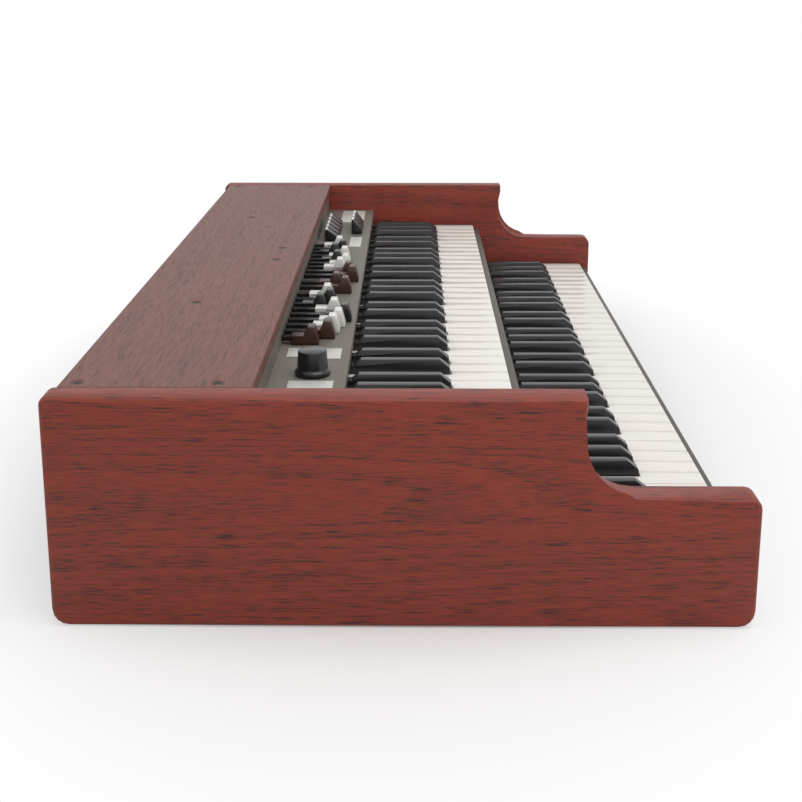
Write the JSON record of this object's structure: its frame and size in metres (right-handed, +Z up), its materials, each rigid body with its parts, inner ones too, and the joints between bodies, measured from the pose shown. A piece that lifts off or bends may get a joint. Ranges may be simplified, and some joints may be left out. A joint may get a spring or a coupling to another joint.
{
  "type": "electronic organ",
  "caption": "Portable two-manual electronic organ with wooden cheeks, drawbars, tabs and a volume knob.",
  "frame": {"origin": "centre of the outline on the surface it stands on", "axes": "+X towards the treble end, -Y towards the player, +Z up"},
  "size_m": [0.926, 0.498, 0.17],
  "materials": {
    "cheek_wood": "satin",
    "cover_wood": "satin",
    "block_wood": "matte",
    "panel_paint": "matte",
    "rail_paint": "matte",
    "ivory_plastic": "gloss",
    "white_plastic": "gloss",
    "black_plastic": "gloss",
    "brown_plastic": "gloss",
    "steel": "satin",
    "circuit_board": "matte"
  },
  "bodies": {
    "case": {"left_cheek": "cheek_wood", "right_cheek": "cheek_wood", "top_cover": "cover_wood", "bottom_board": "cover_wood", "rear_board": "cover_wood", "control_panel": "panel_paint", "upper_key_frame": "steel", "lower_key_frame": "steel", "upper_contact_board": "circuit_board", "lower_contact_board": "circuit_board", "upper_key_slip": "rail_paint", "lower_key_slip": "rail_paint", "upper_key_block_left": "block_wood", "upper_key_block_right": "block_wood", "lower_key_block_left": "block_wood", "lower_key_block_right": "block_wood", "drawbar_guide": "steel", "volume_pot": "steel", "jack_plate": "steel", "mains_inlet": "black_plastic", "switch_housing": "black_plastic", "output_jack": "black_plastic", "main_board": "circuit_board", "power_supply": "steel"},
    "upper_naturals": {"upper_naturals": "ivory_plastic"},
    "upper_sharps": {"upper_sharps": "black_plastic"},
    "lower_naturals": {"lower_naturals": "ivory_plastic"},
    "lower_sharps": {"lower_sharps": "black_plastic"},
    "volume_knob": {"volume_knob": "black_plastic"},
    "power_switch": {"power_switch": "black_plastic"},
    "drawbar_01": {"drawbar_01": "brown_plastic"},
    "drawbar_02": {"drawbar_02": "brown_plastic"},
    "drawbar_03": {"drawbar_03": "white_plastic"},
    "drawbar_04": {"drawbar_04": "white_plastic"},
    "drawbar_05": {"drawbar_05": "black_plastic"},
    "drawbar_06": {"drawbar_06": "white_plastic"},
    "drawbar_07": {"drawbar_07": "black_plastic"},
    "drawbar_08": {"drawbar_08": "black_plastic"},
    "drawbar_09": {"drawbar_09": "white_plastic"},
    "drawbar_10": {"drawbar_10": "brown_plastic"},
    "drawbar_11": {"drawbar_11": "brown_plastic"},
    "drawbar_12": {"drawbar_12": "brown_plastic"},
    "drawbar_13": {"drawbar_13": "brown_plastic"},
    "drawbar_14": {"drawbar_14": "white_plastic"},
    "drawbar_15": {"drawbar_15": "white_plastic"},
    "drawbar_16": {"drawbar_16": "black_plastic"},
    "drawbar_17": {"drawbar_17": "white_plastic"},
    "drawbar_18": {"drawbar_18": "black_plastic"},
    "drawbar_19": {"drawbar_19": "black_plastic"},
    "drawbar_20": {"drawbar_20": "white_plastic"},
    "tab_1": {"tab_1": "black_plastic"},
    "tab_2": {"tab_2": "black_plastic"},
    "tab_3": {"tab_3": "black_plastic"},
    "tab_4": {"tab_4": "black_plastic"},
    "tab_5": {"tab_5": "black_plastic"},
    "tab_6": {"tab_6": "black_plastic"},
    "tab_7": {"tab_7": "black_plastic"},
    "tab_8": {"tab_8": "black_plastic"}
  },
  "joints": [
    {"name": "upper_naturals_press", "type": "hinge", "parent": "case", "child": "upper_naturals", "pos_m": [0, 0.104, 0.111], "axis": [1, 0, 0], "range_deg": [0, 3], "stiffness_Nm_per_rad": 20, "springref_deg": -17.19},
    {"name": "upper_sharps_press", "type": "hinge", "parent": "case", "child": "upper_sharps", "pos_m": [0, 0.104, 0.1185], "axis": [1, 0, 0], "range_deg": [0, 3], "stiffness_Nm_per_rad": 8, "springref_deg": -17.19},
    {"name": "lower_naturals_press", "type": "hinge", "parent": "case", "child": "lower_naturals", "pos_m": [0, -0.0426, 0.0575], "axis": [1, 0, 0], "range_deg": [0, 3], "stiffness_Nm_per_rad": 20, "springref_deg": -17.19},
    {"name": "lower_sharps_press", "type": "hinge", "parent": "case", "child": "lower_sharps", "pos_m": [0, -0.0426, 0.065], "axis": [1, 0, 0], "range_deg": [0, 3], "stiffness_Nm_per_rad": 8, "springref_deg": -17.19},
    {"name": "volume_turn", "type": "hinge", "parent": "case", "child": "volume_knob", "pos_m": [-0.301, 0.074, 0.1366], "axis": [0, 0, 1], "range_deg": [-150, 150]},
    {"name": "power_rock", "type": "hinge", "parent": "case", "child": "power_switch", "pos_m": [0.335, 0.24, 0.085], "axis": [1, 0, 0], "range_deg": [-12, 0]},
    {"name": "pull_01", "type": "slide", "parent": "case", "child": "drawbar_01", "axis": [0, -1, 0], "range_m": [0, 0.028]},
    {"name": "pull_02", "type": "slide", "parent": "case", "child": "drawbar_02", "axis": [0, -1, 0], "range_m": [-0.013, 0.015]},
    {"name": "pull_03", "type": "slide", "parent": "case", "child": "drawbar_03", "axis": [0, -1, 0], "range_m": [-0.016, 0.012]},
    {"name": "pull_04", "type": "slide", "parent": "case", "child": "drawbar_04", "axis": [0, -1, 0], "range_m": [-0.02, 0.008]},
    {"name": "pull_05", "type": "slide", "parent": "case", "child": "drawbar_05", "axis": [0, -1, 0], "range_m": [-0.025, 0.003]},
    {"name": "pull_06", "type": "slide", "parent": "case", "child": "drawbar_06", "axis": [0, -1, 0], "range_m": [-0.014, 0.014]},
    {"name": "pull_07", "type": "slide", "parent": "case", "child": "drawbar_07", "axis": [0, -1, 0], "range_m": [0, 0.028]},
    {"name": "pull_08", "type": "slide", "parent": "case", "child": "drawbar_08", "axis": [0, -1, 0], "range_m": [-0.008, 0.02]},
    {"name": "pull_09", "type": "slide", "parent": "case", "child": "drawbar_09", "axis": [0, -1, 0], "range_m": [-0.004, 0.024]},
    {"name": "pull_10", "type": "slide", "parent": "case", "child": "drawbar_10", "axis": [0, -1, 0], "range_m": [-0.02, 0.008]},
    {"name": "pull_11", "type": "slide", "parent": "case", "child": "drawbar_11", "axis": [0, -1, 0], "range_m": [-0.01, 0.018]},
    {"name": "pull_12", "type": "slide", "parent": "case", "child": "drawbar_12", "axis": [0, -1, 0], "range_m": [-0.025, 0.003]},
    {"name": "pull_13", "type": "slide", "parent": "case", "child": "drawbar_13", "axis": [0, -1, 0], "range_m": [-0.02, 0.008]},
    {"name": "pull_14", "type": "slide", "parent": "case", "child": "drawbar_14", "axis": [0, -1, 0], "range_m": [-0.01, 0.018]},
    {"name": "pull_15", "type": "slide", "parent": "case", "child": "drawbar_15", "axis": [0, -1, 0], "range_m": [-0.015, 0.013]},
    {"name": "pull_16", "type": "slide", "parent": "case", "child": "drawbar_16", "axis": [0, -1, 0], "range_m": [-0.005, 0.023]},
    {"name": "pull_17", "type": "slide", "parent": "case", "child": "drawbar_17", "axis": [0, -1, 0], "range_m": [-0.012, 0.016]},
    {"name": "pull_18", "type": "slide", "parent": "case", "child": "drawbar_18", "axis": [0, -1, 0], "range_m": [0, 0.028]},
    {"name": "pull_19", "type": "slide", "parent": "case", "child": "drawbar_19", "axis": [0, -1, 0], "range_m": [-0.008, 0.02]},
    {"name": "pull_20", "type": "slide", "parent": "case", "child": "drawbar_20", "axis": [0, -1, 0], "range_m": [-0.003, 0.025]},
    {"name": "press_1", "type": "hinge", "parent": "case", "child": "tab_1", "pos_m": [0.234, 0.091, 0.13475], "axis": [1, 0, 0], "range_deg": [0, 6]},
    {"name": "press_2", "type": "hinge", "parent": "case", "child": "tab_2", "pos_m": [0.256, 0.091, 0.13475], "axis": [1, 0, 0], "range_deg": [0, 6]},
    {"name": "press_3", "type": "hinge", "parent": "case", "child": "tab_3", "pos_m": [0.278, 0.091, 0.13475], "axis": [1, 0, 0], "range_deg": [0, 6]},
    {"name": "press_4", "type": "hinge", "parent": "case", "child": "tab_4", "pos_m": [0.3, 0.091, 0.13475], "axis": [1, 0, 0], "range_deg": [0, 6]},
    {"name": "press_5", "type": "hinge", "parent": "case", "child": "tab_5", "pos_m": [0.322, 0.091, 0.13475], "axis": [1, 0, 0], "range_deg": [0, 6]},
    {"name": "press_6", "type": "hinge", "parent": "case", "child": "tab_6", "pos_m": [0.278, 0.0625, 0.13475], "axis": [1, 0, 0], "range_deg": [0, 6]},
    {"name": "press_7", "type": "hinge", "parent": "case", "child": "tab_7", "pos_m": [0.3, 0.0625, 0.13475], "axis": [1, 0, 0], "range_deg": [0, 6]},
    {"name": "press_8", "type": "hinge", "parent": "case", "child": "tab_8", "pos_m": [0.322, 0.0625, 0.13475], "axis": [1, 0, 0], "range_deg": [0, 6]}
  ]
}
